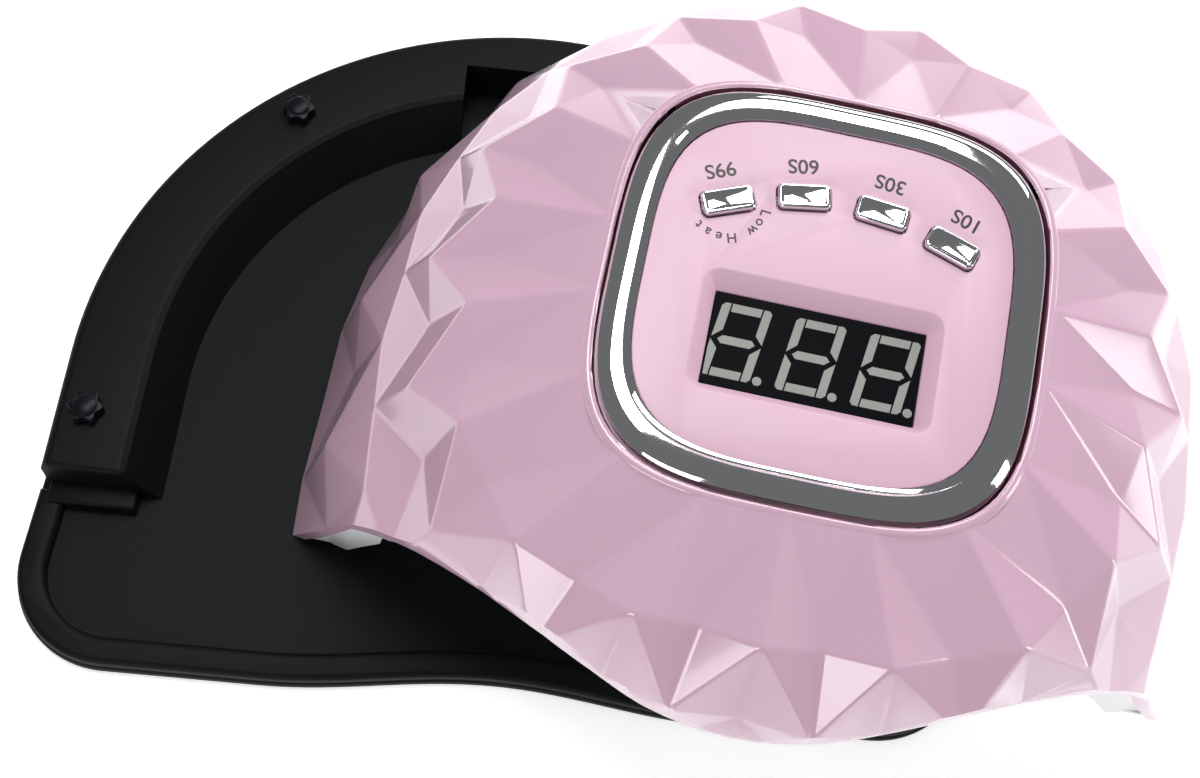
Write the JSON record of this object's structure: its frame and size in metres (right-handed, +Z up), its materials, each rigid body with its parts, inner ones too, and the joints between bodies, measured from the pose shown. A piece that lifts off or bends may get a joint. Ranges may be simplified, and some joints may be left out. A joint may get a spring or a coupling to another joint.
{
  "type": "nail lamp",
  "caption": "Faceted dome nail-curing lamp with a display and four timer buttons, leaning on its loose hand tray.",
  "frame": {"origin": "middle of the footprint of the whole object, at the table", "axes": "+X to the right along the tray and lamp side by side, +Y from the hand opening towards the back of the lamp, +Z up"},
  "size_m": [0.2925, 0.2128, 0.1047],
  "materials": {
    "shell_pink": "glossy",
    "panel_pink": "glossy",
    "chrome": "polished",
    "tray_black": "satin",
    "pin_black": "satin",
    "rubber": "matte",
    "display_black": "glossy",
    "segment_grey": "satin",
    "board_green": "satin",
    "switch_black": "satin",
    "chip_black": "satin",
    "capacitor": "satin",
    "steel": "brushed",
    "liner_white": "glossy",
    "board_white": "satin",
    "led_lens": "clear",
    "lens_clear": "clear",
    "lens_dark": "glossy",
    "brass": "polished"
  },
  "bodies": {
    "tray": {"base_tray": "tray_black", "locating_pins": "pin_black", "tray_feet": "rubber"},
    "key_99s": {"button_99s": "chrome", "plunger_99s": "switch_black"},
    "key_60s": {"button_60s": "chrome", "plunger_60s": "switch_black"},
    "key_30s": {"button_30s": "chrome", "plunger_30s": "switch_black"},
    "key_10s": {"button_10s": "chrome", "plunger_10s": "switch_black"},
    "lamp": {"top_shell": "shell_pink", "control_panel": "panel_pink", "chrome_ring": "chrome", "display_module": "display_black", "display_segments": "segment_grey", "control_board": "board_green", "tact_switches": "switch_black", "board_chips": "chip_black", "capacitors": "capacitor", "board_screws": "steel", "inner_liner": "liner_white", "base_ring": "liner_white", "shell_screws": "steel", "led_board_top": "board_white", "led_board_left": "board_white", "led_board_right": "board_white", "led_board_back": "board_white", "leds_top": "led_lens", "leds_left": "led_lens", "leds_right": "led_lens", "leds_back": "led_lens", "hand_emitter": "lens_clear", "hand_receiver": "lens_dark", "dc_jack": "chip_black", "jack_pin": "brass"}
  },
  "joints": [
    {"name": "lamp_lift", "type": "slide", "parent": "tray", "child": "lamp", "axis": [0, 0, 1], "range_m": [0, 0.12]},
    {"name": "press_99s", "type": "slide", "parent": "lamp", "child": "key_99s", "axis": [0, 0.1063, -0.9943], "range_m": [0, 0.0006], "stiffness_N_per_m": 900},
    {"name": "press_60s", "type": "slide", "parent": "lamp", "child": "key_60s", "axis": [0, 0.1063, -0.9943], "range_m": [0, 0.0006], "stiffness_N_per_m": 900},
    {"name": "press_30s", "type": "slide", "parent": "lamp", "child": "key_30s", "axis": [0, 0.1063, -0.9943], "range_m": [0, 0.0006], "stiffness_N_per_m": 900},
    {"name": "press_10s", "type": "slide", "parent": "lamp", "child": "key_10s", "axis": [0, 0.1063, -0.9943], "range_m": [0, 0.0006], "stiffness_N_per_m": 900}
  ]
}
